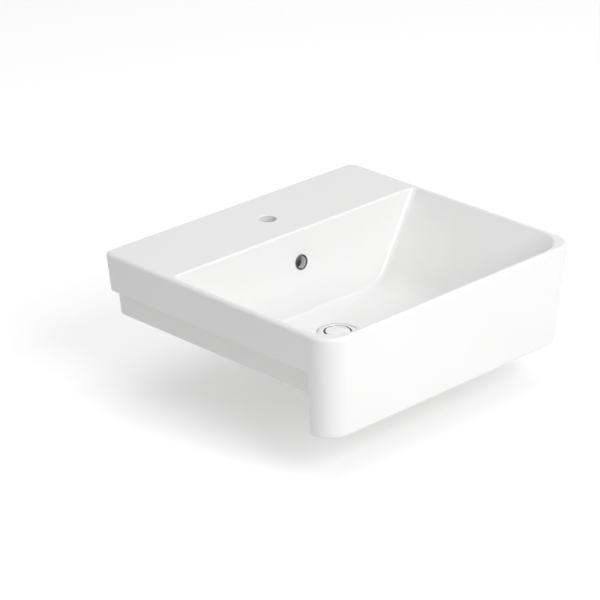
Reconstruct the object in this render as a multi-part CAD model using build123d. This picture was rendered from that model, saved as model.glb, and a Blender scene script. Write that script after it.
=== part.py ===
from build123d import *
import os
from math import atan2, cos, pi, radians, sin, tan

# Semi-recessed washbasin in glazed vitreous china, with a chrome overflow ring and a
# click-clack waste. Millimetres, +Z up, front towards -Y, X centred.
# The origin lies on the seating plane, at the middle of the rear seating strip.

# Driving sizes of the china body
WIDTH = 550.0                # over the rim, left to right
DEPTH = 488.0                # over the rim, rear to front
RIM_ABOVE_SEAT = 61.5        # rim top to the worktop
SKIRT_HEIGHT = 165.0         # rim top to the bottom of the front skirt
SKIRT_DEPTH = 49.0           # how far the full-height front reaches back, at the rim
LOWER_BAND_DEPTH = 41.5      # how far the band goes down into the worktop's cut-out
SEAT_STRIP = 10.0            # width of the flat strip that rests on the worktop
SIDE_DRAFT_DEG = 4.3         # sides and rear lean in towards the bottom
FRONT_DRAFT_DEG = 3.2        # the front leans in less
REAR_CORNER_RADIUS = 16.0
FRONT_CORNER_RADIUS = 40.0
RIM_OUTER_ROUND = 6.0        # rounding of the outer top edge
RIM_INNER_ROUND = 4.0        # rounding of the edge into the bowl
SKIRT_BOTTOM_ROUND = 4.0
SHELL_WALL = 11.0            # thickness of the outer walls
DECK_THICKNESS = 12.0        # thickness of the tap deck
DECK_ROOT = 16.0             # the deck stays thick this far behind the bowl's edge
RIM_CEILING = 29.0           # depth of solid china under the rim beside the bowl

# Bowl, measured from the rim
BOWL_FROM_REAR = 150.0       # rear edge of the rim to the bowl's rear edge
SIDE_RIM_WIDTH = 9.5         # rim left beside the bowl
FRONT_RIM_WIDTH = 9.5        # rim left in front of the bowl
BOWL_REAR_CORNER = 10.0      # plan radius of the bowl's rear corners
BOWL_FRONT_CORNER = 60.0     # plan radius of the bowl's front corners
BOWL_WALL = 9.0              # thickness of the bowl
SIDE_SLOPE_DEG = 36.0        # side walls, from vertical
FRONT_SLOPE_DEG = 36.0       # front wall, from vertical
REAR_SLOPE_DEG = 7.7         # rear wall, from vertical
SIDE_FLOOR_ROUND = 60.0      # radius between the side walls and the floor
FRONT_FLOOR_ROUND = 60.0
REAR_FLOOR_ROUND = 8.0
WASTE_DEPTH = 145.0          # rim top to the floor beside the waste
FLOOR_FALL = 11.0             # how far the floor falls from the walls to the waste
FLOOR_EDGE_DEPTH = WASTE_DEPTH - FLOOR_FALL
ROUND_STEPS = 8              # facets along each floor radius
CORNER_AT_WASTE = 0.96       # bowl's corner radius at the waste, as a share of the recess's

# Tap hole in the deck
TAP_HOLE_DIAMETER = 28.0
TAP_HOLE_FROM_REAR = 82.0
TAP_HOLE_ROUND = 1.5

# Waste hole in the floor
WASTE_FROM_REAR = 238.0
THREAD_DIAMETER = 41.9       # G 1 1/4 outside diameter
WASTE_HOLE_CLEARANCE = 2.05  # round the thread
WASTE_HOLE_DIAMETER = THREAD_DIAMETER + 2 * WASTE_HOLE_CLEARANCE
FLANGE_COVER = 8.5           # how far the flange reaches past the hole
FLANGE_DIAMETER = WASTE_HOLE_DIAMETER + 2 * FLANGE_COVER
WASTE_RECESS_CLEARANCE = 1.5
WASTE_RECESS_DIAMETER = FLANGE_DIAMETER + 2 * WASTE_RECESS_CLEARANCE
WASTE_RECESS_DEPTH = 4.0
WASTE_BOSS_WALL = 5.0        # china round the recess
WASTE_BOSS_DIAMETER = WASTE_RECESS_DIAMETER + 2 * WASTE_BOSS_WALL
WASTE_BOSS_HEIGHT = 29.0     # recess floor to the underside, where the nut pulls up

# Overflow: a hole in the rear wall, and a channel behind and under the bowl to the waste
OVERFLOW_BELOW_RIM = 52.0
RING_OPENING_DIAMETER = 18.0
RING_SLEEVE_WALL = 1.7
RING_SLEEVE_CLEARANCE = 0.3
RING_SLEEVE_DIAMETER = RING_OPENING_DIAMETER + 2 * RING_SLEEVE_WALL
OVERFLOW_HOLE_DIAMETER = RING_SLEEVE_DIAMETER + 2 * RING_SLEEVE_CLEARANCE
RING_COVER = 1.5
RING_OUTER_DIAMETER = OVERFLOW_HOLE_DIAMETER + 2 * RING_COVER
CHANNEL_MARGIN = 6.0         # channel beside the hole
CHANNEL_WIDTH = OVERFLOW_HOLE_DIAMETER + 2 * CHANNEL_MARGIN
CHANNEL_GAP = 13.0           # clear depth of the channel
CHANNEL_WALL = 8.0
CHANNEL_ABOVE_HOLE = 16.0    # channel roof above the hole's centre
CHANNEL_FLOOR_ABOVE_BOSS = 8.0

RING_LIP = 2.6               # how far the ring stands out from the wall
RING_SLEEVE_LENGTH = 8.0
RING_LIP_ROUNDNESS = 0.7     # outer round, as a share of the lip
RING_MOUTH_ROUNDNESS = 0.45  # inner round, as a share of the lip

# Waste body
FLANGE_EDGE = 1.8            # thickness at the flange's edge
FLANGE_CROWN = 1.2           # how far the flange rises to its inner lip
FLANGE_SEAL_THICKNESS = 1.6
FLANGE_NECK_CLEARANCE = 0.6  # neck below the flange, in the waste hole
NECK_LENGTH = 5.0
LIP_WIDTH = 1.0              # flat on top of the flange's inner lip
SEAL_SETBACK = 0.8           # soft rings stop this short of the edge above them
TAIL_WALL = 2.45             # from the thread's crest to the bore
WASTE_BORE_DIAMETER = THREAD_DIAMETER - 2 * TAIL_WALL
SEAT_DEPTH = 6.0
SEAT_FLARE = 4.3             # how far the cone that the plug closes opens outwards
SEAT_TOP_DIAMETER = WASTE_BORE_DIAMETER + 2 * SEAT_FLARE
TAIL_LENGTH = 88.0           # below the flange's underside
SLOT_WIDTH = 16.0
SLOT_HEIGHT = 16.0
SLOT_TOP_BELOW_FLANGE = 8.0
RELIEF_BELOW_NUT = 1.0       # groove that parts the nut's thread from the trap's
RELIEF_WIDTH = 2.0
RELIEF_DEPTH = 1.2
TAIL_CHAMFER = 1.2
WEB_THICKNESS = 3.0
WEB_HEIGHT = 7.0
WEB_HUB_WALL = 3.0
WEB_BELOW_FLANGE = 62.0

# Seals, washer and nut under the basin
UNDER_SEAL_COVER = 9.0       # how far the seal reaches past the waste hole
UNDER_SEAL_DIAMETER = WASTE_HOLE_DIAMETER + 2 * UNDER_SEAL_COVER
UNDER_SEAL_THICKNESS = 5.0
UNDER_SEAL_SPIGOT = 4.0      # taper that enters the waste hole
SLIP_WASHER_SETBACK = 1.0    # from the seal's edge
SLIP_WASHER_DIAMETER = UNDER_SEAL_DIAMETER - 2 * SLIP_WASHER_SETBACK
SLIP_WASHER_THICKNESS = 2.0
NUT_WALL = 7.05              # from the thread to a flat
NUT_ACROSS_FLATS = THREAD_DIAMETER + 2 * NUT_WALL
NUT_THICKNESS = 9.0
NUT_THREAD_CLEARANCE = 0.1
NUT_CORNER_TURN = 0.4        # how far the nut's corners are turned down
NUT_CHAMFER = 2.0
THREAD_CLEARANCE = 0.3       # radial gap of what slides over the thread

# Plug
PLUG_TRAVEL = 8.0
CAP_GAP = 1.6                # between the cap and the mouth of its seat
CAP_DIAMETER = SEAT_TOP_DIAMETER - 2 * CAP_GAP
CAP_EDGE = 3.2
CAP_CROWN = 1.6
CAP_PROUD = 0.4              # cap's upper edge above the flange's inner lip
CAP_EDGE_ROUND = 1.2
CAP_EDGE_RISE = 0.3
CAP_RIM_SLOPE = 0.16         # rise over run of the dome at its edge
CAP_HALFWAY_RISE = 0.62      # height of the dome half-way in, as a share of its crown
SPINDLE_DIAMETER = 6.0
CAP_BOSS_WALL = 3.5
CAP_BOSS_DIAMETER = SPINDLE_DIAMETER + 2 * CAP_BOSS_WALL
CAP_BOSS_LENGTH = 9.0
PLUG_SEAL_THICKNESS = 2.4
PLUG_SEAL_CLEARANCE = 0.3    # from the cone when the plug is down

# Click cartridge
CARTRIDGE_BORE = 13.6
CARTRIDGE_WALL = 2.7
CARTRIDGE_DIAMETER = CARTRIDGE_BORE + 2 * CARTRIDGE_WALL
CARTRIDGE_BASE = 5.0
CARTRIDGE_THREAD_DIAMETER = 8.0
WEB_HUB_DIAMETER = CARTRIDGE_THREAD_DIAMETER + 2 * WEB_HUB_WALL
CARTRIDGE_BELOW_CAP = 0.5    # guide top to the cap's boss when the plug is down
STUD_CLEARANCE = 0.1         # radial gap where one piece screws or presses into another
GUIDE_HEIGHT = 5.0
GUIDE_FLANGE = 2.0
GUIDE_CLEARANCE = 0.08       # running clearance round the spindle
SPINDLE_IN_CAP = 6.0
COLLAR_CLEARANCE = 0.5       # radial, in the cartridge's bore
SPINDLE_COLLAR_DIAMETER = CARTRIDGE_BORE - 2 * COLLAR_CLEARANCE
SPINDLE_COLLAR_HEIGHT = 3.0
STROKE_MARGIN = 0.6          # collar to guide when the plug is up
ROTOR_HEIGHT = 5.0
ROTOR_CLEARANCE = 0.4        # radial, in the cartridge's bore
ROTOR_DIAMETER = CARTRIDGE_BORE - 2 * ROTOR_CLEARANCE
ROTOR_PLAY = 0.3             # axial play between collar, rotor and clip
CLIP_WIDTH = 1.5
CLIP_DIAMETER = SPINDLE_DIAMETER + 2 * CLIP_WIDTH
CLIP_THICKNESS = 0.8
CLIP_MOUTH = 4.0
SPINDLE_TIP = 1.0            # spindle below the clip
TEETH = 8
TOOTH_HEIGHT = 1.6
TOOTH_WIDTH = 3.6
TOOTH_ROOT = 0.4             # how far the teeth run into their ring
TOOTH_LENGTH = 1.7           # along the radius
TOOTH_RING_INNER = ROTOR_DIAMETER - 2 * TOOTH_LENGTH
CROWN_HEIGHT = 6.0
SPRING_WIRE = 0.9
SPRING_CLEARANCE = 0.2       # round the spindle
SPRING_DIAMETER = SPINDLE_DIAMETER + 2 * (SPRING_CLEARANCE + SPRING_WIRE)
SPRING_TURNS = 11
SPINDLE_SEAL_WIRE = 1.5

# Levels and lines that follow from the sizes
Z_RIM = RIM_ABOVE_SEAT
Z_SKIRT = Z_RIM - SKIRT_HEIGHT
Z_BAND = -LOWER_BAND_DEPTH
SIDE_LEAN = tan(radians(SIDE_DRAFT_DEG))
FRONT_LEAN = tan(radians(FRONT_DRAFT_DEG))
REAR_LEAN = tan(radians(REAR_SLOPE_DEG))
Y_REAR = SEAT_STRIP / 2 + Z_RIM * SIDE_LEAN
Y_FRONT = Y_REAR - DEPTH
Y_SKIRT = Y_FRONT + SKIRT_DEPTH
Y_BOWL = Y_REAR - BOWL_FROM_REAR
Y_BOWL_FRONT = Y_FRONT + FRONT_RIM_WIDTH
Y_TAP = Y_REAR - TAP_HOLE_FROM_REAR
Y_WASTE = Y_REAR - WASTE_FROM_REAR
Z_OVERFLOW = Z_RIM - OVERFLOW_BELOW_RIM
Z_FLOOR = Z_RIM - WASTE_DEPTH
Z_RECESS = Z_FLOOR - WASTE_RECESS_DEPTH
Z_BOSS = Z_RECESS - WASTE_BOSS_HEIGHT
Z_FLANGE = Z_RECESS + FLANGE_SEAL_THICKNESS
Z_LIP = Z_FLANGE + FLANGE_EDGE + FLANGE_CROWN
Z_TAIL = Z_FLANGE - TAIL_LENGTH
Z_WASHER = Z_BOSS - UNDER_SEAL_THICKNESS - SLIP_WASHER_THICKNESS
Z_NUT = Z_WASHER - NUT_THICKNESS
Z_WEB = Z_FLANGE - WEB_BELOW_FLANGE
Z_CAP = Z_LIP + CAP_PROUD - CAP_EDGE
Z_SPINDLE = Z_CAP - CAP_BOSS_LENGTH + SPINDLE_IN_CAP
Z_HOUSING = Z_CAP - CAP_BOSS_LENGTH - CARTRIDGE_BELOW_CAP - GUIDE_FLANGE
Z_COLLAR = Z_HOUSING - GUIDE_HEIGHT - STROKE_MARGIN - PLUG_TRAVEL
Z_ROTOR = Z_COLLAR - SPINDLE_COLLAR_HEIGHT - ROTOR_PLAY
Z_CLIP = Z_ROTOR - ROTOR_HEIGHT - ROTOR_PLAY
Z_CROWN = Z_ROTOR - ROTOR_HEIGHT - TOOTH_HEIGHT - ROTOR_PLAY
OVERLAP = 1.0                # how far joined solids run into each other
FIND = 0.01                  # tolerance for picking edges by their place


def outline(z, half_x, y_rear, y_front, r_rear, r_front):
    """Closed rounded rectangle at height z, as four sides and four corner arcs."""
    corners = [
        (-half_x, y_rear, r_rear, 180, -90),
        (half_x, y_rear, r_rear, 90, -90),
        (half_x, y_front, r_front, 0, -90),
        (-half_x, y_front, r_front, -90, -90),
    ]
    arcs = []
    for x, y, radius, start, turn in corners:
        centre_x = x - radius if x > 0 else x + radius
        centre_y = y - radius if y == y_rear else y + radius
        points = []
        for share in (0, 0.5, 1):
            angle = radians(start + turn * share)
            points.append((centre_x + radius * cos(angle), centre_y + radius * sin(angle), z))
        arcs.append(points)
    edges = []
    for here, after in zip(arcs, arcs[1:] + arcs[:1]):
        edges.append(Edge.make_three_point_arc(*here))
        edges.append(Edge.make_line(here[2], after[0]))
    return Wire(edges)


def outer_outline(z, inset=0.0):
    """The china's outside at height z, or a line that lies inset inside it."""
    depth = Z_RIM - z
    return outline(
        z,
        WIDTH / 2 - depth * SIDE_LEAN - inset,
        Y_REAR - depth * SIDE_LEAN - inset,
        Y_FRONT + depth * FRONT_LEAN + inset,
        max(REAR_CORNER_RADIUS - inset, REAR_CORNER_RADIUS / 2),
        FRONT_CORNER_RADIUS - inset,
    )


def block(z_top, z_bottom, inset=0.0):
    """Leaning block between two heights, cut to the china's outside less the inset."""
    return Solid.make_loft([outer_outline(z_top, inset), outer_outline(z_bottom, inset)], True)


def box_between(x_low, x_high, y_low, y_high, z_low, z_high):
    """Box by its two opposite corners."""
    size = (x_high - x_low, y_high - y_low, z_high - z_low)
    return Pos(x_low, y_low, z_low) * Box(*size, align=(Align.MIN, Align.MIN, Align.MIN))


def turned(points, y=Y_WASTE):
    """Solid of revolution about the vertical axis at x 0, from (radius, z) points."""
    face = Face(Wire.make_polygon([(radius, 0, z) for radius, z in points]))
    return Pos(0, y, 0) * revolve(face, Axis.Z)


def tube(outer, inner, z_low, z_high, y=Y_WASTE):
    """Upright tube or, with no inner diameter, a rod."""
    solid = Cylinder(outer / 2, z_high - z_low)
    if inner:
        solid -= Cylinder(inner / 2, z_high - z_low + OVERLAP)
    return Pos(0, y, (z_low + z_high) / 2) * solid


class WallProfile:
    """Section of one bowl wall and the floor it runs into, with a round between them."""

    def __init__(self, slope_deg, round_radius, reach):
        lean = radians(slope_deg)
        self.lean = lean
        self.radius = round_radius
        self.knee = FLOOR_EDGE_DEPTH * tan(lean)
        self.fall = atan2(WASTE_DEPTH - FLOOR_EDGE_DEPTH, reach - self.knee)
        turn = pi / 2 - lean - self.fall
        leg = round_radius * tan(turn / 2)
        self.start_depth = FLOOR_EDGE_DEPTH - leg * cos(lean)
        self.end_depth = FLOOR_EDGE_DEPTH + leg * sin(self.fall)
        self.centre_inset = self.start_depth * tan(lean) + round_radius * cos(lean)
        self.centre_depth = self.start_depth - round_radius * sin(lean)

    def inset(self, depth):
        """How far the surface has come in from the rim line at this depth."""
        if depth <= self.start_depth:
            return depth * tan(self.lean)
        if depth >= self.end_depth:
            return self.knee + (depth - FLOOR_EDGE_DEPTH) / tan(self.fall)
        drop = depth - self.centre_depth
        return self.centre_inset - (self.radius**2 - drop**2) ** 0.5

    def round_depths(self):
        """Depths that divide the round into equal turns."""
        first = self.lean
        last = pi / 2 - self.fall
        steps = [first + (last - first) * i / ROUND_STEPS for i in range(ROUND_STEPS + 1)]
        return [self.centre_depth + self.radius * sin(angle) for angle in steps]


RECESS_RADIUS = WASTE_RECESS_DIAMETER / 2
SIDE_WALL = WallProfile(
    SIDE_SLOPE_DEG, SIDE_FLOOR_ROUND, WIDTH / 2 - SIDE_RIM_WIDTH - RECESS_RADIUS
)
FRONT_WALL = WallProfile(
    FRONT_SLOPE_DEG, FRONT_FLOOR_ROUND, Y_WASTE - RECESS_RADIUS - Y_BOWL_FRONT
)
REAR_WALL = WallProfile(
    REAR_SLOPE_DEG, REAR_FLOOR_ROUND, Y_BOWL - Y_WASTE - RECESS_RADIUS
)


def corner_radius(depth, at_rim):
    """Plan radius of a bowl corner, which turns into the waste recess's own radius."""
    share = max(0.0, (depth - FLOOR_EDGE_DEPTH) / (WASTE_DEPTH - FLOOR_EDGE_DEPTH))
    at_waste = CORNER_AT_WASTE * RECESS_RADIUS
    return at_rim + (at_waste - at_rim) * share


def bowl_outline(depth, wall=0.0):
    """The bowl at this depth, or its underside, one wall thickness out and down."""
    return outline(
        Z_RIM - depth - wall,
        WIDTH / 2 - SIDE_RIM_WIDTH - SIDE_WALL.inset(depth) + wall,
        Y_BOWL - REAR_WALL.inset(depth) + wall,
        Y_BOWL_FRONT + FRONT_WALL.inset(depth) - wall,
        corner_radius(depth, BOWL_REAR_CORNER) + wall,
        corner_radius(depth, BOWL_FRONT_CORNER) + wall,
    )


def bowl_form(top, wall=0.0):
    """Solid that fills the bowl from a depth down, or the same grown by one wall."""
    depths = [top] + SIDE_WALL.round_depths() + [WASTE_DEPTH]
    return Solid.make_loft([bowl_outline(depth, wall) for depth in depths], True)


def behind_wall(z):
    """Back of the bowl's rear wall at height z."""
    return Y_BOWL - (Z_RIM - z - BOWL_WALL) * REAR_LEAN + BOWL_WALL


def channel_form(grow, width):
    """Bent bar behind and under the bowl: the overflow channel, or its outside."""
    roof = Z_OVERFLOW + CHANNEL_ABOVE_HOLE + grow
    base = Z_BOSS + CHANNEL_FLOOR_ABOVE_BOSS - grow
    near = CHANNEL_GAP + grow
    shelf = base + CHANNEL_GAP + 2 * grow
    points = [
        (behind_wall(roof) - grow, roof),
        (behind_wall(roof) + near, roof),
        (behind_wall(base) + near, base),
        (Y_WASTE, base),
        (Y_WASTE, shelf),
        (behind_wall(shelf) - grow, shelf),
    ]
    face = Face(Wire.make_polygon([(0, y, z) for y, z in points]))
    return extrude(face, width / 2, both=True)


def shell():
    """Rim, deck, band and skirt, hollow and open below."""
    ceiling = Z_RIM - RIM_CEILING
    solid = block(Z_RIM, 0) + block(OVERLAP, Z_BAND, SEAT_STRIP)
    front = box_between(-WIDTH, WIDTH, Y_FRONT - OVERLAP, Y_SKIRT, Z_SKIRT, OVERLAP)
    skirt = block(OVERLAP, Z_SKIRT) & front
    solid += skirt
    solid -= block(ceiling, SHELL_WALL, SHELL_WALL)
    solid -= block(ceiling, Z_SKIRT - OVERLAP, SEAT_STRIP + SHELL_WALL)
    wings = box_between(
        -WIDTH, WIDTH, Y_FRONT - OVERLAP, Y_SKIRT - SHELL_WALL, Z_SKIRT - OVERLAP, ceiling
    )
    solid -= block(ceiling, Z_SKIRT - OVERLAP, SHELL_WALL) & wings
    return solid


def deck_hollow():
    """Space under the tap deck, behind the bowl."""
    room = box_between(
        -WIDTH, WIDTH, Y_BOWL + DECK_ROOT, Y_REAR, Z_RIM - RIM_CEILING - OVERLAP, Z_RIM
    )
    return block(Z_RIM - DECK_THICKNESS, 0, SHELL_WALL) & room


def overflow_place():
    """Place of the overflow on the rear wall, facing out of it into the bowl."""
    lean = radians(REAR_SLOPE_DEG)
    y = Y_BOWL - OVERFLOW_BELOW_RIM * REAR_LEAN
    plane = Plane(origin=(0, y, Z_OVERFLOW), x_dir=(1, 0, 0), z_dir=(0, -cos(lean), sin(lean)))
    return plane.location


def level_edges(solid, z):
    """Edges of a solid that lie flat at one height."""
    return solid.edges().filter_by(
        lambda edge: all(abs(corner.Z - z) < FIND for corner in edge.vertices())
        and abs(edge.center().Z - z) < FIND
    )


def round_skirt(solid):
    """Round the outer lower edge of the skirt."""
    outside = outer_outline(Z_SKIRT)
    edges = level_edges(solid, Z_SKIRT).filter_by(
        lambda edge: outside.distance_to(edge @ 0.5) < FIND
    )
    return fillet(edges, SKIRT_BOTTOM_ROUND)


def round_bowl_edge(solid):
    """Round the edge where the rim turns down into the bowl."""
    opening = bowl_outline(0)
    edges = level_edges(solid, Z_RIM).filter_by(
        lambda edge: opening.distance_to(edge @ 0.5) < FIND
    )
    return fillet(edges, RIM_INNER_ROUND)


def round_tap_hole(solid):
    """Soften the upper edge of the tap hole."""
    edges = level_edges(solid, Z_RIM).filter_by(GeomType.CIRCLE).filter_by(
        lambda edge: abs(edge.radius - TAP_HOLE_DIAMETER / 2) < FIND
    )
    return fillet(edges, TAP_HOLE_ROUND)


def basin_body():
    """The china: shell, bowl, overflow channel and waste boss, in one piece."""
    solid = shell()
    solid = fillet(level_edges(solid, Z_RIM), RIM_OUTER_ROUND)
    solid = round_skirt(solid)
    solid -= deck_hollow()
    solid += bowl_form(RIM_CEILING - BOWL_WALL - OVERLAP, BOWL_WALL)
    solid += channel_form(CHANNEL_WALL, CHANNEL_WIDTH + 2 * CHANNEL_WALL)
    solid += tube(WASTE_BOSS_DIAMETER, 0, Z_BOSS, Z_RECESS)
    solid -= bowl_form(0)
    solid = round_bowl_edge(solid)
    solid -= channel_form(0, CHANNEL_WIDTH)
    solid -= tube(WASTE_RECESS_DIAMETER, 0, Z_RECESS, Z_FLOOR + OVERLAP)
    solid -= tube(WASTE_HOLE_DIAMETER, 0, Z_BOSS - OVERLAP, Z_RECESS + OVERLAP)
    solid -= tube(TAP_HOLE_DIAMETER, 0, Z_RIM - RIM_CEILING, Z_RIM + OVERLAP, Y_TAP)
    hole = Cylinder(OVERFLOW_HOLE_DIAMETER / 2, 2 * (BOWL_WALL + CHANNEL_GAP / 2))
    solid -= overflow_place() * hole
    return round_tap_hole(solid)


def overflow_ring():
    """Chrome ring that lines the overflow hole: a rounded lip and a sleeve."""
    opening = RING_OPENING_DIAMETER / 2
    lip = Cylinder(RING_OUTER_DIAMETER / 2, RING_LIP, align=(Align.CENTER, Align.CENTER, Align.MIN))
    lip = fillet(lip.edges().group_by(Axis.Z)[-1], RING_LIP * RING_LIP_ROUNDNESS)
    sleeve = RING_SLEEVE_DIAMETER / 2
    liner = Cylinder(sleeve, RING_SLEEVE_LENGTH, align=(Align.CENTER, Align.CENTER, Align.MAX))
    solid = lip + liner - Cylinder(opening, 2 * (RING_LIP + RING_SLEEVE_LENGTH))
    mouth = solid.edges().group_by(Axis.Z)[-1]
    return overflow_place() * fillet(mouth, RING_LIP * RING_MOUTH_ROUNDNESS)


def cone_radius(z):
    """Radius of the seat that the plug closes, at height z."""
    slope = (SEAT_TOP_DIAMETER - WASTE_BORE_DIAMETER) / 2 / SEAT_DEPTH
    return SEAT_TOP_DIAMETER / 2 - (Z_LIP - z) * slope


def waste_body():
    """Flange, seat, slotted threaded tube and the cross web that holds the cartridge."""
    bore = WASTE_BORE_DIAMETER / 2
    thread = THREAD_DIAMETER / 2
    neck = WASTE_HOLE_DIAMETER / 2 - FLANGE_NECK_CLEARANCE
    z_relief = Z_NUT - RELIEF_BELOW_NUT
    points = [
        (bore, Z_TAIL),
        (thread - TAIL_CHAMFER, Z_TAIL),
        (thread, Z_TAIL + TAIL_CHAMFER),
        (thread, z_relief - RELIEF_WIDTH),
        (thread - RELIEF_DEPTH, z_relief - RELIEF_WIDTH),
        (thread - RELIEF_DEPTH, z_relief),
        (thread, z_relief),
        (thread, Z_FLANGE - NECK_LENGTH),
        (neck, Z_FLANGE - NECK_LENGTH),
        (neck, Z_FLANGE),
        (FLANGE_DIAMETER / 2, Z_FLANGE),
        (FLANGE_DIAMETER / 2, Z_FLANGE + FLANGE_EDGE / 2),
        (FLANGE_DIAMETER / 2 - FLANGE_EDGE / 2, Z_FLANGE + FLANGE_EDGE),
        (SEAT_TOP_DIAMETER / 2 + LIP_WIDTH, Z_LIP),
        (SEAT_TOP_DIAMETER / 2, Z_LIP),
        (bore, Z_LIP - SEAT_DEPTH),
    ]
    solid = turned(points)
    slot = Box(SLOT_WIDTH, THREAD_DIAMETER + 2 * OVERLAP, SLOT_HEIGHT)
    solid -= Pos(0, Y_WASTE, Z_FLANGE - SLOT_TOP_BELOW_FLANGE - SLOT_HEIGHT / 2) * slot
    web_middle = Pos(0, Y_WASTE, Z_WEB - WEB_HEIGHT / 2)
    arm = Box(2 * bore + OVERLAP, WEB_THICKNESS, WEB_HEIGHT)
    solid += web_middle * arm + web_middle * Rot(0, 0, 90) * arm
    solid += web_middle * Cylinder(WEB_HUB_DIAMETER / 2, WEB_HEIGHT)
    stud_hole = CARTRIDGE_THREAD_DIAMETER / 2 + STUD_CLEARANCE
    return solid - web_middle * Cylinder(stud_hole, WEB_HEIGHT + OVERLAP)


def flange_seal():
    """Soft ring between the flange and the china."""
    inner = WASTE_HOLE_DIAMETER
    return tube(FLANGE_DIAMETER - 2 * SEAL_SETBACK, inner, Z_RECESS, Z_FLANGE)


def under_seal():
    """Tapered rubber ring under the basin, with a spigot that enters the waste hole."""
    inner = THREAD_DIAMETER / 2 + THREAD_CLEARANCE
    root = WASTE_HOLE_DIAMETER / 2 - SEAL_SETBACK / 2
    points = [
        (inner, Z_BOSS - UNDER_SEAL_THICKNESS),
        (UNDER_SEAL_DIAMETER / 2, Z_BOSS - UNDER_SEAL_THICKNESS),
        (UNDER_SEAL_DIAMETER / 2, Z_BOSS),
        (root, Z_BOSS),
        (root - SEAL_SETBACK, Z_BOSS + UNDER_SEAL_SPIGOT),
        (inner, Z_BOSS + UNDER_SEAL_SPIGOT),
    ]
    return turned(points)


def slip_washer():
    """Plastic washer that lets the nut turn without dragging the rubber."""
    inner = THREAD_DIAMETER + 2 * THREAD_CLEARANCE
    return tube(SLIP_WASHER_DIAMETER, inner, Z_WASHER, Z_BOSS - UNDER_SEAL_THICKNESS)


def back_nut():
    """Hexagonal brass nut that pulls the waste down onto the basin."""
    hexagon = extrude(RegularPolygon(NUT_ACROSS_FLATS / 2, 6, major_radius=False), NUT_THICKNESS)
    corner = NUT_ACROSS_FLATS / 2 / cos(pi / 6)
    cone = Cylinder(corner - NUT_CORNER_TURN, NUT_THICKNESS)
    bevelled = Pos(0, 0, NUT_THICKNESS / 2) * chamfer(cone.edges(), NUT_CHAMFER - NUT_CORNER_TURN)
    bore = Cylinder(THREAD_DIAMETER / 2 + NUT_THREAD_CLEARANCE, 3 * NUT_THICKNESS)
    return Pos(0, Y_WASTE, Z_NUT) * ((hexagon & bevelled) - bore)


def plug_cap():
    """Chrome cap with a low dome above and a threaded boss below."""
    base = cone_radius(Z_CAP) - CAP_GAP
    shoulder = Z_CAP + CAP_EDGE
    reach = CAP_DIAMETER / 2 - CAP_EDGE_ROUND
    dome = Spline(
        (reach, 0, shoulder + CAP_EDGE_RISE),
        (reach / 2, 0, shoulder + (CAP_CROWN + CAP_EDGE_RISE) * CAP_HALFWAY_RISE),
        (0, 0, shoulder + CAP_CROWN),
        tangents=[(-1, 0, CAP_RIM_SLOPE), (-1, 0, 0)],
    )
    side = Polyline(
        (0, 0, shoulder + CAP_CROWN),
        (0, 0, Z_CAP),
        (base, 0, Z_CAP),
        (CAP_DIAMETER / 2, 0, shoulder - CAP_EDGE_ROUND),
    )
    turn = Spline(
        (CAP_DIAMETER / 2, 0, shoulder - CAP_EDGE_ROUND),
        (reach, 0, shoulder + CAP_EDGE_RISE),
        tangents=[(0, 0, 1), (-1, 0, CAP_RIM_SLOPE)],
    )
    solid = Pos(0, Y_WASTE, 0) * revolve(make_face(dome + side + turn), Axis.Z)
    solid += tube(CAP_BOSS_DIAMETER, 0, Z_CAP - CAP_BOSS_LENGTH, Z_CAP + OVERLAP)
    hole = SPINDLE_DIAMETER + 2 * STUD_CLEARANCE
    return solid - tube(hole, 0, Z_CAP - CAP_BOSS_LENGTH - OVERLAP, Z_SPINDLE + STUD_CLEARANCE)


def plug_seal():
    """Conical rubber ring under the cap, a hair off the seat when the plug is down."""
    z_low = Z_CAP - PLUG_SEAL_THICKNESS
    inner = CAP_BOSS_DIAMETER / 2 + STUD_CLEARANCE
    points = [
        (inner, z_low),
        (cone_radius(z_low) - PLUG_SEAL_CLEARANCE, z_low),
        (cone_radius(Z_CAP) - PLUG_SEAL_CLEARANCE, Z_CAP),
        (inner, Z_CAP),
    ]
    return turned(points)


def spindle():
    """Rod from the cap into the cartridge, with the collar that the stroke ends on."""
    rod = tube(SPINDLE_DIAMETER, 0, Z_CLIP - CLIP_THICKNESS - SPINDLE_TIP, Z_SPINDLE)
    return rod + tube(SPINDLE_COLLAR_DIAMETER, 0, Z_COLLAR - SPINDLE_COLLAR_HEIGHT, Z_COLLAR)


def cartridge_housing():
    """Brass cup that holds the click mechanism, with a stud through the web."""
    solid = tube(CARTRIDGE_DIAMETER, 0, Z_WEB, Z_HOUSING)
    solid -= tube(CARTRIDGE_BORE, 0, Z_WEB + CARTRIDGE_BASE, Z_HOUSING + OVERLAP)
    return solid + tube(CARTRIDGE_THREAD_DIAMETER, 0, Z_WEB - WEB_HEIGHT, Z_WEB + OVERLAP)


def cartridge_guide():
    """Screwed-in top of the cartridge, bored to guide the spindle."""
    solid = tube(CARTRIDGE_DIAMETER, 0, Z_HOUSING, Z_HOUSING + GUIDE_FLANGE)
    spigot = CARTRIDGE_BORE - 2 * STUD_CLEARANCE
    solid += tube(spigot, 0, Z_HOUSING - GUIDE_HEIGHT, Z_HOUSING + OVERLAP)
    groove = SPINDLE_DIAMETER + 2 * (GUIDE_CLEARANCE + SPINDLE_SEAL_WIRE) + 2 * STUD_CLEARANCE
    z_top = Z_HOUSING + GUIDE_FLANGE
    solid -= tube(groove, 0, z_top - SPINDLE_SEAL_WIRE, z_top + OVERLAP)
    bore = SPINDLE_DIAMETER + 2 * GUIDE_CLEARANCE
    return solid - tube(bore, 0, Z_HOUSING - GUIDE_HEIGHT - OVERLAP, z_top + OVERLAP)


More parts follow.
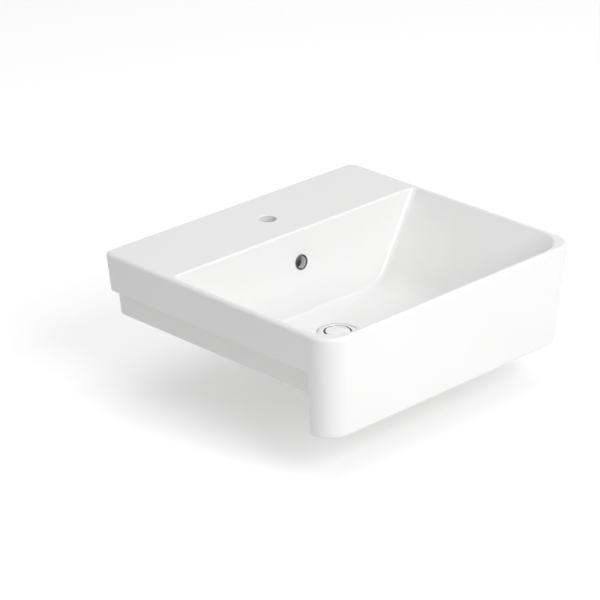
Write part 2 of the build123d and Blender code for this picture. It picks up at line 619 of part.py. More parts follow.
def spindle_seal():
    """Rubber ring round the spindle, in the top of the guide."""
    radius = SPINDLE_SEAL_WIRE / 2
    middle = SPINDLE_DIAMETER / 2 + GUIDE_CLEARANCE + radius
    return Pos(0, Y_WASTE, Z_HOUSING + GUIDE_FLANGE - radius) * Torus(middle, radius)


def tooth_ring(z_root, direction, first_angle):
    """Ring of pointed teeth that stand up (+1) or hang down (-1) from z_root."""
    half = TOOTH_WIDTH / 2
    inner = TOOTH_RING_INNER / 2
    width = ROTOR_DIAMETER / 2 - inner
    profile = [
        (inner, -half, -direction * TOOTH_ROOT),
        (inner, half, -direction * TOOTH_ROOT),
        (inner, half, 0),
        (inner, 0, direction * TOOTH_HEIGHT),
        (inner, -half, 0),
    ]
    blank = Face(Wire.make_polygon(profile))
    prism = extrude(blank, width + OVERLAP, dir=(1, 0, 0))
    keep = Cylinder(ROTOR_DIAMETER / 2, 4 * TOOTH_HEIGHT) - Cylinder(inner, 5 * TOOTH_HEIGHT)
    teeth = []
    for index in range(TEETH):
        teeth.append(Rot(0, 0, first_angle + index * 360 / TEETH) * prism)
    ring = teeth[0].fuse(*teeth[1:]) & keep
    return Pos(0, Y_WASTE, z_root) * ring


def index_rotor():
    """Toothed ring on the spindle that turns one step at each press."""
    bore = SPINDLE_DIAMETER + 2 * GUIDE_CLEARANCE
    solid = tube(ROTOR_DIAMETER, bore, Z_ROTOR - ROTOR_HEIGHT, Z_ROTOR)
    return solid + tooth_ring(Z_ROTOR - ROTOR_HEIGHT, -1, 0)


def click_crown():
    """Fixed toothed ring in the cartridge that the rotor drops into."""
    outer = CARTRIDGE_BORE - 2 * STUD_CLEARANCE
    solid = tube(outer, TOOTH_RING_INNER, Z_CROWN - CROWN_HEIGHT, Z_CROWN)
    return solid + tooth_ring(Z_CROWN, 1, 180 / TEETH)


def spindle_clip():
    """Spring clip that keeps the rotor on the spindle."""
    ring = tube(CLIP_DIAMETER, SPINDLE_DIAMETER, Z_CLIP - CLIP_THICKNESS, Z_CLIP)
    mouth = box_between(
        0, CLIP_DIAMETER, Y_WASTE - CLIP_MOUTH / 2, Y_WASTE + CLIP_MOUTH / 2, Z_TAIL, Z_RIM
    )
    return ring - mouth


def return_spring():
    """Coil spring that lifts the plug, wound from the cartridge's base to the clip."""
    low = Z_WEB + CARTRIDGE_BASE + SPRING_WIRE / 2
    high = Z_CLIP - CLIP_THICKNESS - SPRING_WIRE / 2
    radius = (SPRING_DIAMETER - SPRING_WIRE) / 2
    path = Helix((high - low) / SPRING_TURNS, high - low, radius)
    section = Plane(path @ 0, z_dir=path % 0) * Circle(SPRING_WIRE / 2)
    coil = sweep(section, path, is_frenet=True)
    return Pos(0, Y_WASTE, low) * coil


PIECES = {
    "basin_body": basin_body,
    "overflow_ring": overflow_ring,
    "waste_body": waste_body,
    "flange_seal": flange_seal,
    "under_seal": under_seal,
    "slip_washer": slip_washer,
    "back_nut": back_nut,
    "plug_cap": plug_cap,
    "plug_seal": plug_seal,
    "spindle": spindle,
    "cartridge_housing": cartridge_housing,
    "cartridge_guide": cartridge_guide,
    "spindle_seal": spindle_seal,
    "index_rotor": index_rotor,
    "click_crown": click_crown,
    "spindle_clip": spindle_clip,
    "return_spring": return_spring,
}

os.makedirs("parts", exist_ok=True)
for name, make in PIECES.items():
    export_step(make(), f"parts/{name}.step")
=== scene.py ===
import logging
from collections.abc import Callable
from dataclasses import dataclass, field
from enum import Enum
from math import atan2, cos, pi, radians, sin, sqrt, tan

import bmesh
import bpy
from mathutils import Matrix, Vector


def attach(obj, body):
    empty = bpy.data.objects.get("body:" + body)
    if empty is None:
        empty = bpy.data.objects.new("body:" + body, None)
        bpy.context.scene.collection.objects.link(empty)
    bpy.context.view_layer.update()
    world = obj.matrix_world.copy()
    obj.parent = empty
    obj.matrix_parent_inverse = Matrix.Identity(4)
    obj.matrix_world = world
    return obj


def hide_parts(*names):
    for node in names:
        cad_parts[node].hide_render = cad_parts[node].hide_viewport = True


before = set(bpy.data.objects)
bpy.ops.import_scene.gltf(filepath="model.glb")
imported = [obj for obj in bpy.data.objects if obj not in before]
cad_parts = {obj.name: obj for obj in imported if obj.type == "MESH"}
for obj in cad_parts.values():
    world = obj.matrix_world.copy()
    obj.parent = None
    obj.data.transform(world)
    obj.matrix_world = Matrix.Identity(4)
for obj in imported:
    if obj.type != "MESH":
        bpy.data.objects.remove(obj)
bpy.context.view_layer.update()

LOG = logging.getLogger("washbasin")
MM = 0.001
FAR = 400.0  # half the width of a cutting block, in millimetres, well past the casting
Point = tuple[float, float, float]
Colour = tuple[float, float, float]
Loop = list[Point]


class Body(Enum):
    """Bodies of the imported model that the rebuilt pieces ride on."""

    BASIN = "basin"
    PLUG = "plug"


class Join(Enum):
    """How a second form acts on the first."""

    ADD = "UNION"
    CUT = "DIFFERENCE"


def mesh_object(name: str, points: list[Point], faces: list[tuple[int, ...]]) -> bpy.types.Object:
    """Make an object from points in millimetres.

    Args:
        name: Name of the object and of its mesh.
        points: Corners, in millimetres.
        faces: Corner numbers of each face.

    Returns:
        The new object, linked to the scene, with its faces turned outwards.
    """
    mesh = bpy.data.meshes.new(name)
    mesh.from_pydata([tuple(value * MM for value in point) for point in points], [], faces)
    work = bmesh.new()
    work.from_mesh(mesh)
    bmesh.ops.recalc_face_normals(work, faces=work.faces)
    work.to_mesh(mesh)
    work.free()
    shape = bpy.data.objects.new(name, mesh)
    bpy.context.scene.collection.objects.link(shape)
    return shape


def lofted(name: str, loops: list[Loop]) -> bpy.types.Object:
    """Make a closed form through loops that all have the same number of points.

    Args:
        name: Name of the object.
        loops: Loops from one end of the form to the other, in millimetres.

    Returns:
        The form, with a flat cap at each end.
    """
    count = len(loops[0])
    points = [point for loop in loops for point in loop]
    faces: list[tuple[int, ...]] = []
    for ring in range(len(loops) - 1):
        here, after = ring * count, (ring + 1) * count
        for index in range(count):
            beside = (index + 1) % count
            faces.append((here + index, here + beside, after + beside, after + index))
    faces.append(tuple(range(count)))
    faces.append(tuple(range(len(points) - count, len(points))))
    return mesh_object(name, points, faces)


def block(name: str, low: Point, high: Point) -> bpy.types.Object:
    """Make a cutting block between two opposite corners.

    Args:
        name: Name of the object.
        low: Lowest corner, in millimetres.
        high: Highest corner, in millimetres.

    Returns:
        The block.
    """
    loops = []
    for z in (low[2], high[2]):
        loops.append([(low[0], low[1], z), (high[0], low[1], z), (high[0], high[1], z), (low[0], high[1], z)])
    return lofted(name, loops)


def turned(
    name: str,
    outline: list[tuple[float, float]],
    centre: tuple[float, float] = (0.0, 0.0),
    steps: int = 96,
    ripple: Callable[[float, float, float], float] | None = None,
) -> bpy.types.Object:
    """Make a turned form by running a closed outline round an upright axis.

    Args:
        name: Name of the object.
        outline: Closed outline as (radius, height) pairs, in millimetres. A radius of 0 lies on the axis.
        centre: Place of the axis in plan, in millimetres.
        steps: Number of steps round the axis.
        ripple: Changes the radius, given the radius, the height and the angle in radians.

    Returns:
        The turned form.
    """
    points: list[Point] = []
    rows: list[list[int]] = []
    for radius, height in outline:
        row = []
        for step in range(steps if radius > 0 else 1):
            angle = 2 * pi * step / steps
            reach = ripple(radius, height, angle) if ripple and radius > 0 else radius
            row.append(len(points))
            points.append((centre[0] + reach * cos(angle), centre[1] + reach * sin(angle), height))
        rows.append(row if radius > 0 else row * steps)
    faces: list[tuple[int, ...]] = []
    for here, after in zip(rows, rows[1:] + rows[:1]):
        for step in range(steps):
            beside = (step + 1) % steps
            face = (here[step], here[beside], after[beside], after[step])
            corners = tuple(dict.fromkeys(face))
            if len(corners) > 2:
                faces.append(corners)
    return mesh_object(name, points, faces)


def joined(base: bpy.types.Object, tool: bpy.types.Object, how: Join) -> bpy.types.Object:
    """Add one closed form to another, or cut it away, and drop the second form.

    Args:
        base: The form that stays.
        tool: The form that is added or cut away.
        how: Whether to add or to cut.

    Returns:
        The base, with its new mesh.
    """
    change = base.modifiers.new("join", "BOOLEAN")
    change.operation = how.value
    change.solver = "EXACT"
    change.object = tool
    bpy.context.view_layer.update()
    shape = base.evaluated_get(bpy.context.evaluated_depsgraph_get())
    result = bpy.data.meshes.new_from_object(shape)
    base.modifiers.clear()
    old = base.data
    base.data = result
    bpy.data.meshes.remove(old)
    bpy.data.objects.remove(tool)
    return base


def soften_edges(shape: bpy.types.Object, width: float, chosen: Callable[[Vector, Vector], bool]) -> None:
    """Round the chosen edges of a form.

    Args:
        shape: The form, at rest at the origin.
        width: Width of the rounding, in millimetres.
        chosen: Says for an edge's two ends, in millimetres, whether it is rounded.
    """
    work = bmesh.new()
    work.from_mesh(shape.data)
    edges = [edge for edge in work.edges if chosen(edge.verts[0].co / MM, edge.verts[1].co / MM)]
    bmesh.ops.bevel(
        work, geom=edges, offset=width * MM, segments=4, profile=0.5, affect="EDGES", clamp_overlap=True
    )
    work.to_mesh(shape.data)
    work.free()


def shade_smooth(shape: bpy.types.Object, sharp_deg: float = 32.0) -> None:
    """Shade a form smoothly, apart from its sharp edges, and keep its flat faces flat.

    Args:
        shape: The form.
        sharp_deg: Edges that turn by more than this stay sharp.
    """
    shape.data.shade_smooth()
    shape.data.set_sharp_from_angle(angle=radians(sharp_deg))
    weighted = shape.modifiers.new("even_faces", "WEIGHTED_NORMAL")
    weighted.keep_sharp = True
    weighted.weight = 80


def dress(shape: bpy.types.Object, material: bpy.types.Material) -> None:
    """Give a form one material in place of what it had.

    Args:
        shape: The form.
        material: Its new material.
    """
    if not shape.data.materials:
        shape.data.materials.append(material)
    for place in range(len(shape.data.materials)):
        shape.data.materials[place] = material


class Effects:
    """Shader node groups that several finishes share. Each one is built once."""

    def __init__(self) -> None:
        """Build the groups."""
        self.drift = self._drift()
        self.turning = self._turning()
        self.mould = self._mould()

    @staticmethod
    def _group(name: str, inputs: dict[str, float], outputs: list[str]) -> bpy.types.NodeTree:
        """Start a group with value inputs and value outputs.

        Args:
            name: Name of the group.
            inputs: Input names and their default values.
            outputs: Output names.

        Returns:
            The group, with its input and output nodes in it.
        """
        group = bpy.data.node_groups.new(name, "ShaderNodeTree")
        for label, value in inputs.items():
            socket = group.interface.new_socket(name=label, in_out="INPUT", socket_type="NodeSocketFloat")
            socket.default_value = value
        for label in outputs:
            group.interface.new_socket(name=label, in_out="OUTPUT", socket_type="NodeSocketFloat")
        group.nodes.new("NodeGroupInput")
        group.nodes.new("NodeGroupOutput")
        return group

    @staticmethod
    def _math(group: bpy.types.NodeTree, kind: str, first: object, second: object) -> bpy.types.NodeSocket:
        """Add a Math node to a group.

        Args:
            group: The group.
            kind: Blender's name of the operation.
            first: A socket or a number.
            second: A socket or a number.

        Returns:
            The node's output.
        """
        node = group.nodes.new("ShaderNodeMath")
        node.operation = kind
        for place, value in enumerate((first, second)):
            if isinstance(value, bpy.types.NodeSocket):
                group.links.new(value, node.inputs[place])
            else:
                node.inputs[place].default_value = value
        return node.outputs[0]

    def _drift(self) -> bpy.types.NodeTree:
        """Slow, soft unevenness: a tone mask and a height that wander over the surface."""
        group = self._group("surface_drift", {"Scale": 20.0, "Detail": 2.0}, ["Tone", "Height"])
        given, out = group.nodes["Group Input"], group.nodes["Group Output"]
        place = group.nodes.new("ShaderNodeTexCoord")
        for label, stretch in (("Tone", 1.0), ("Height", 0.53)):
            noise = group.nodes.new("ShaderNodeTexNoise")
            group.links.new(place.outputs["Object"], noise.inputs["Vector"])
            scale = self._math(group, "MULTIPLY", given.outputs["Scale"], stretch)
            group.links.new(scale, noise.inputs["Scale"])
            group.links.new(given.outputs["Detail"], noise.inputs["Detail"])
            group.links.new(noise.outputs["Fac"], out.inputs[label])
        return group

    def _turning(self) -> bpy.types.NodeTree:
        """Fine rings that a lathe leaves round the waste's axis: a mask and a height."""
        group = self._group("turning_marks", {"Pitch": 0.0004, "Axis Y": 0.0}, ["Mask", "Height"])
        given, out = group.nodes["Group Input"], group.nodes["Group Output"]
        place = group.nodes.new("ShaderNodeTexCoord")
        parts = group.nodes.new("ShaderNodeSeparateXYZ")
        group.links.new(place.outputs["Object"], parts.inputs[0])
        across = self._math(group, "SUBTRACT", parts.outputs["Y"], given.outputs["Axis Y"])
        squares = self._math(
            group,
            "ADD",
            self._math(group, "MULTIPLY", parts.outputs["X"], parts.outputs["X"]),
            self._math(group, "MULTIPLY", across, across),
        )
        radius = self._math(group, "SQRT", squares, 0.0)
        travel = self._math(group, "ADD", radius, parts.outputs["Z"])
        turns = self._math(group, "DIVIDE", travel, given.outputs["Pitch"])
        wave = self._math(group, "SINE", self._math(group, "MULTIPLY", turns, 2 * pi), 0.0)
        noise = group.nodes.new("ShaderNodeTexNoise")
        noise.noise_dimensions = "1D"
        noise.inputs["Scale"].default_value = 0.37
        noise.inputs["Detail"].default_value = 3.0
        group.links.new(turns, noise.inputs["W"])
        uneven = self._math(group, "MULTIPLY", wave, noise.outputs["Fac"])
        group.links.new(noise.outputs["Fac"], out.inputs["Mask"])
        group.links.new(uneven, out.inputs["Height"])
        return group

    def _mould(self) -> bpy.types.NodeTree:
        """Fine grain of a moulded part: a mask and a height."""
        group = self._group("mould_grain", {"Scale": 900.0}, ["Mask", "Height"])
        given, out = group.nodes["Group Input"], group.nodes["Group Output"]
        place = group.nodes.new("ShaderNodeTexCoord")
        cells = group.nodes.new("ShaderNodeTexVoronoi")
        noise = group.nodes.new("ShaderNodeTexNoise")
        noise.inputs["Detail"].default_value = 4.0
        for node in (cells, noise):
            group.links.new(place.outputs["Object"], node.inputs["Vector"])
            group.links.new(given.outputs["Scale"], node.inputs["Scale"])
        height = self._math(group, "ADD", cells.outputs["Distance"], noise.outputs["Fac"])
        group.links.new(noise.outputs["Fac"], out.inputs["Mask"])
        group.links.new(height, out.inputs["Height"])
        return group


class Paint:
    """A new material with the node patterns that all finishes share."""

    def __init__(self, name: str, effect: bpy.types.NodeTree, values: dict[str, float]) -> None:
        """Start the material with one effect in it.

        Args:
            name: Name of the material.
            effect: The effect's node group.
            values: Values for the group's inputs.
        """
        self.material = bpy.data.materials.new(name)
        self.material.use_nodes = True
        self.nodes, self.links = self.material.node_tree.nodes, self.material.node_tree.links
        self.shader = self.nodes["Principled BSDF"]
        self.effect = self.nodes.new("ShaderNodeGroup")
        self.effect.node_tree = effect
        for label, value in values.items():
            self.effect.inputs[label].default_value = value

    def constants(self, values: dict[str, float]) -> None:
        """Set the shader's own sockets that don't vary over the surface."""
        for label, value in values.items():
            self.shader.inputs[label].default_value = value

    def mix(self, mask: bpy.types.NodeSocket, first: object, second: Colour) -> bpy.types.NodeSocket:
        """Mix two colours by a mask.

        Args:
            mask: The mask.
            first: Colour or socket where the mask is 0.
            second: Colour where the mask is 1.

        Returns:
            The mixed colour.
        """
        node = self.nodes.new("ShaderNodeMix")
        node.data_type = "RGBA"
        if isinstance(first, bpy.types.NodeSocket):
            self.links.new(first, node.inputs["A"])
        else:
            node.inputs["A"].default_value = (*first, 1.0)
        node.inputs["B"].default_value = (*second, 1.0)
        self.links.new(mask, node.inputs["Factor"])
        return node.outputs["Result"]

    def roughness(self, mask: bpy.types.NodeSocket, low: float, high: float) -> None:
        """Let the roughness run from one value to another with a mask."""
        gloss = self.nodes.new("ShaderNodeMapRange")
        gloss.inputs["To Min"].default_value = low
        gloss.inputs["To Max"].default_value = high
        self.links.new(mask, gloss.inputs["Value"])
        self.links.new(gloss.outputs["Result"], self.shader.inputs["Roughness"])

    def bump(self, strength: float, distance: float) -> None:
        """Turn the effect's height into fine relief."""
        bump = self.nodes.new("ShaderNodeBump")
        bump.inputs["Strength"].default_value = strength
        bump.inputs["Distance"].default_value = distance
        self.links.new(self.effect.outputs["Height"], bump.inputs["Height"])
        self.links.new(bump.outputs["Normal"], self.shader.inputs["Normal"])


@dataclass(frozen=True)
class Finish:
    """A finish whose colour, roughness and fine relief come from the shared effects."""

    name: str
    colour: Colour
    second_colour: Colour
    roughness: float
    roughness_range: float
    effect_values: dict[str, float]
    relief: float
    effect: str = "mould"
    metallic: float = 0.0
    relief_depth: float = 0.0001
    ior: float = 1.5

    def material(self, effects: Effects) -> bpy.types.Material:
        """Build the finish as a material.

        Args:
            effects: The shared node groups.

        Returns:
            The material.
        """
        paint = Paint(self.name, getattr(effects, self.effect), self.effect_values)
        paint.constants({"Metallic": self.metallic, "IOR": self.ior})
        mask = paint.effect.outputs[0]
        colour = paint.mix(mask, self.colour, self.second_colour)
        paint.links.new(colour, paint.shader.inputs["Base Color"])
        low, high = self.roughness - self.roughness_range, self.roughness + self.roughness_range
        paint.roughness(mask, low, high)
        paint.bump(self.relief, self.relief_depth)
        return paint.material


@dataclass(frozen=True)
class Glaze:
    """White glaze over vitreous china, with bare ground china on what faces down."""

    name: str = "glazed_china"
    colour: Colour = (0.87, 0.875, 0.87)
    thin_colour: Colour = (0.84, 0.842, 0.832)
    bare_colour: Colour = (0.78, 0.765, 0.73)
    roughness: float = 0.07
    bare_roughness: float = 0.62
    ior: float = 1.52
    drift_scale: float = 9.0
    ripple: float = 0.16
    ripple_depth: float = 0.0009
    bare_from: float = -0.96
    bare_to: float = -0.995

    def material(self, effects: Effects) -> bpy.types.Material:
        """Build the glaze.

        Args:
            effects: The shared node groups.

        Returns:
            The material.
        """
        paint = Paint(self.name, effects.drift, {"Scale": self.drift_scale, "Detail": 1.0})
        paint.constants({"IOR": self.ior})
        bare = self._bare_mask(paint)
        tone = paint.mix(paint.effect.outputs["Tone"], self.colour, self.thin_colour)
        paint.links.new(paint.mix(bare, tone, self.bare_colour), paint.shader.inputs["Base Color"])
        paint.roughness(bare, self.roughness, self.bare_roughness)
        paint.bump(self.ripple, self.ripple_depth)
        return paint.material

    def _bare_mask(self, paint: Paint) -> bpy.types.NodeSocket:
        """Mask of what faces down.

        Args:
            paint: The material's nodes.

        Returns:
            A socket that is 1 on bare china and 0 on glaze.
        """
        geometry = paint.nodes.new("ShaderNodeNewGeometry")
        parts = paint.nodes.new("ShaderNodeSeparateXYZ")
        paint.links.new(geometry.outputs["Normal"], parts.inputs[0])
        mask = paint.nodes.new("ShaderNodeMapRange")
        mask.inputs["From Min"].default_value = self.bare_from
        mask.inputs["From Max"].default_value = self.bare_to
        paint.links.new(parts.outputs["Z"], mask.inputs["Value"])
        return mask.outputs["Result"]


class Finishes:
    """Every material of the basin, built once."""

    def __init__(self) -> None:
        """Build the finishes from the shared effects."""
        effects = Effects()
        metal = {"effect": "drift", "metallic": 1.0}
        marks = {"Pitch": 0.00035, "Axis Y": BasinSizes().waste_y * MM}
        self.glaze = Glaze().material(effects)
        self.chrome = Finish(
            "chrome_plate", (0.84, 0.85, 0.87), (0.78, 0.79, 0.81),
            0.07, 0.02, {"Scale": 160.0}, 0.05, **metal
        ).material(effects)
        # Chrome of the overflow ring coloured near-black: painted dark reflection, standing in for dark
        # surroundings that bright chrome would mirror
        self.chrome_painted_dark_reflection = Finish(
            "chrome_plate_painted_dark_reflection", (0.105, 0.108, 0.112), (0.085, 0.087, 0.09),
            0.12, 0.03, {"Scale": 160.0}, 0.05, **metal
        ).material(effects)
        self.brass = Finish(
            "turned_brass", (0.74, 0.56, 0.28), (0.60, 0.43, 0.20),
            0.30, 0.08, marks, 0.35, "turning", 1.0, 0.00004
        ).material(effects)
        self.steel = Finish(
            "spring_steel", (0.58, 0.59, 0.60), (0.46, 0.47, 0.49), 0.28, 0.06, {"Scale": 700.0}, 0.1, **metal
        ).material(effects)
        self.rubber = Finish(
            "moulded_rubber", (0.035, 0.035, 0.038), (0.06, 0.06, 0.062), 0.62, 0.08, {"Scale": 1400.0}, 0.3
        ).material(effects)
        self.soft_ring = Finish(
            "soft_sealing_ring", (0.76, 0.76, 0.74), (0.68, 0.68, 0.65), 0.5, 0.06, {"Scale": 1100.0}, 0.2
        ).material(effects)
        self.nylon = Finish(
            "natural_nylon", (0.84, 0.83, 0.78), (0.76, 0.75, 0.69), 0.38, 0.05, {"Scale": 800.0}, 0.2
        ).material(effects)
        self.acetal = Finish(
            "white_acetal", (0.88, 0.88, 0.86), (0.80, 0.80, 0.78), 0.33, 0.05, {"Scale": 900.0}, 0.15
        ).material(effects)


@dataclass
class BasinSizes:
    """Sizes of the china in millimetres, as the CAD model has them."""

    half_width: float = 275.0
    depth: float = 488.0
    rim_z: float = 61.5
    skirt_height: float = 165.0
    skirt_depth: float = 49.0
    band_depth: float = 41.5
    seat_strip: float = 10.0
    side_lean: float = 4.3
    front_lean: float = 3.2
    rear_corner: float = 16.0
    front_corner: float = 40.0
    rim_round: float = 6.0
    rim_inner_round: float = 4.0
    skirt_round: float = 4.0
    wall: float = 11.0
    deck: float = 12.0
    deck_root: float = 16.0
    ceiling_depth: float = 29.0
    bowl_from_rear: float = 150.0
    rim_width: float = 9.5
    bowl_rear_corner: float = 10.0
    bowl_front_corner: float = 60.0
    bowl_wall: float = 9.0
    wall_slope: float = 36.0
    rear_slope: float = 7.7
    floor_fall: float = 11.0
    waste_depth: float = 145.0
    floor_round: float = 60.0
    rear_floor_round: float = 8.0
    waste_from_rear: float = 238.0
    recess_radius: float = 33.0
    recess_depth: float = 4.0
    waste_hole_radius: float = 23.0
    boss_radius: float = 38.0
    boss_height: float = 29.0
    tap_from_rear: float = 82.0
    tap_radius: float = 14.0
    tap_round: float = 1.5
    overflow_depth: float = 52.0
    overflow_radius: float = 11.0
    channel_width: float = 34.0
    channel_gap: float = 13.0
    channel_wall: float = 8.0
    channel_above: float = 16.0
    channel_below: float = 8.0

    @property
    def rear_y(self) -> float:
        """Rear edge of the rim."""
        return self.seat_strip / 2 + self.rim_z * tan(radians(self.side_lean))

    @property
    def front_y(self) -> float:
        """Front edge of the rim."""
        return self.rear_y - self.depth

    @property
    def skirt_y(self) -> float:
        """Rear face of the full-height front."""
        return self.front_y + self.skirt_depth

    @property
    def skirt_z(self) -> float:
        """Lowest line of the front skirt."""
        return self.rim_z - self.skirt_height

    @property
    def bowl_y(self) -> float:
        """Rear edge of the bowl at the rim."""
        return self.rear_y - self.bowl_from_rear

    @property
    def bowl_front_y(self) -> float:
        """Front edge of the bowl at the rim."""
        return self.front_y + self.rim_width

    @property
    def waste_y(self) -> float:
        """Axis of the waste."""
        return self.rear_y - self.waste_from_rear

    @property
    def floor_edge(self) -> float:
        """Depth where the walls meet the falling floor."""
        return self.waste_depth - self.floor_fall

    @property
    def recess_z(self) -> float:
        """Bottom of the recess that the flange lies in."""
        return self.rim_z - self.waste_depth - self.recess_depth

    @property
    def boss_z(self) -> float:
        """Underside of the waste boss."""
        return self.recess_z - self.boss_height


class WallSection:
    """Section of one bowl wall: rounded rim, slope, round at the foot, and the falling floor."""

    def __init__(self, sizes: BasinSizes, slope_deg: float, foot_radius: float, reach: float) -> None:
        """Work out where the rounds start and end.

        Args:
            sizes: Sizes of the china.
            slope_deg: Slope of the wall from vertical, in degrees.
            foot_radius: Radius between the wall and the floor.
            reach: Distance in plan from the rim edge to the waste recess.
        """
        self.lean = radians(slope_deg)
        self.edge_radius = sizes.rim_inner_round
        self.edge_reach = self.edge_radius * tan((pi / 2 - self.lean) / 2)
        self.edge_end = self.edge_radius * (1 - sin(self.lean))
        self.floor_edge = sizes.floor_edge
        self.knee = self.floor_edge * tan(self.lean)
        self.fall = atan2(sizes.floor_fall, reach - self.knee)
        self.radius = foot_radius
        turn = pi / 2 - self.lean - self.fall
        leg = foot_radius * tan(turn / 2)
        self.start = self.floor_edge - leg * cos(self.lean)
        self.end = self.floor_edge + leg * sin(self.fall)
        self.centre_inset = self.start * tan(self.lean) + foot_radius * cos(self.lean)
        self.centre_depth = self.start - foot_radius * sin(self.lean)

    def inset(self, depth: float, sharp: bool = False) -> float:
        """How far the surface has come in from the rim line at a depth.

        Args:
            depth: Depth below the rim.
            sharp: Leave out the round at the rim.

        Returns:
            The inset, negative where the rim's round starts outside the line.
        """
        if depth < self.edge_end and not sharp:
            up = self.edge_radius - max(depth, 0.0)
            return sqrt(self.edge_radius**2 - up**2) - self.edge_reach
        if depth <= self.start:
            return depth * tan(self.lean)
        if depth >= self.end:
            return self.knee + (depth - self.floor_edge) / tan(self.fall)
        drop = depth - self.centre_depth
        return self.centre_inset - sqrt(self.radius**2 - drop**2)

    def foot_depths(self, steps: int) -> list[float]:
        """Depths that divide the round at the foot into equal turns.

        Args:
            steps: Number of turns.

        Returns:
            The depths.
        """
        last = pi / 2 - self.fall
        angles = [self.lean + (last - self.lean) * step / steps for step in range(steps + 1)]
        return [self.centre_depth + self.radius * sin(angle) for angle in angles]


def rounded_loop(
    z: float,
    half_x: float,
    y_rear: float,
    y_front: float,
    r_rear: float,
    r_front: float,
    corner_steps: tuple[int, int] = (12, 28),
    side_steps: int = 9,
) -> Loop:
    """Closed rounded rectangle with a fixed number of points.

    Args:
        z: Height of the loop.
        half_x: Half of its width.
        y_rear: Its rear line.
        y_front: Its front line.
        r_rear: Radius of the rear corners.
        r_front: Radius of the front corners.
        corner_steps: Steps along each rear and each front corner.
        side_steps: Steps along each side.

    Returns:
        The loop's points.
    """
    corners = (
        (-1, y_rear, r_rear, 180.0, corner_steps[0]),
        (1, y_rear, r_rear, 90.0, corner_steps[0]),
        (1, y_front, r_front, 0.0, corner_steps[1]),
        (-1, y_front, r_front, -90.0, corner_steps[1]),
    )
    arcs: list[Loop] = []
    for side, y, radius, first, steps in corners:
        centre_x = side * (half_x - radius)
        centre_y = y - radius if y == y_rear else y + radius
        arc = []
        for step in range(steps + 1):
            angle = radians(first - 90.0 * step / steps)
            arc.append((centre_x + radius * cos(angle), centre_y + radius * sin(angle), z))
        arcs.append(arc)
    loop: Loop = []
    for arc, after in zip(arcs, arcs[1:] + arcs[:1]):
        loop.extend(arc)
        start, end = Vector(arc[-1]), Vector(after[0])
        loop.extend(tuple(start.lerp(end, step / side_steps)) for step in range(1, side_steps))
    return loop


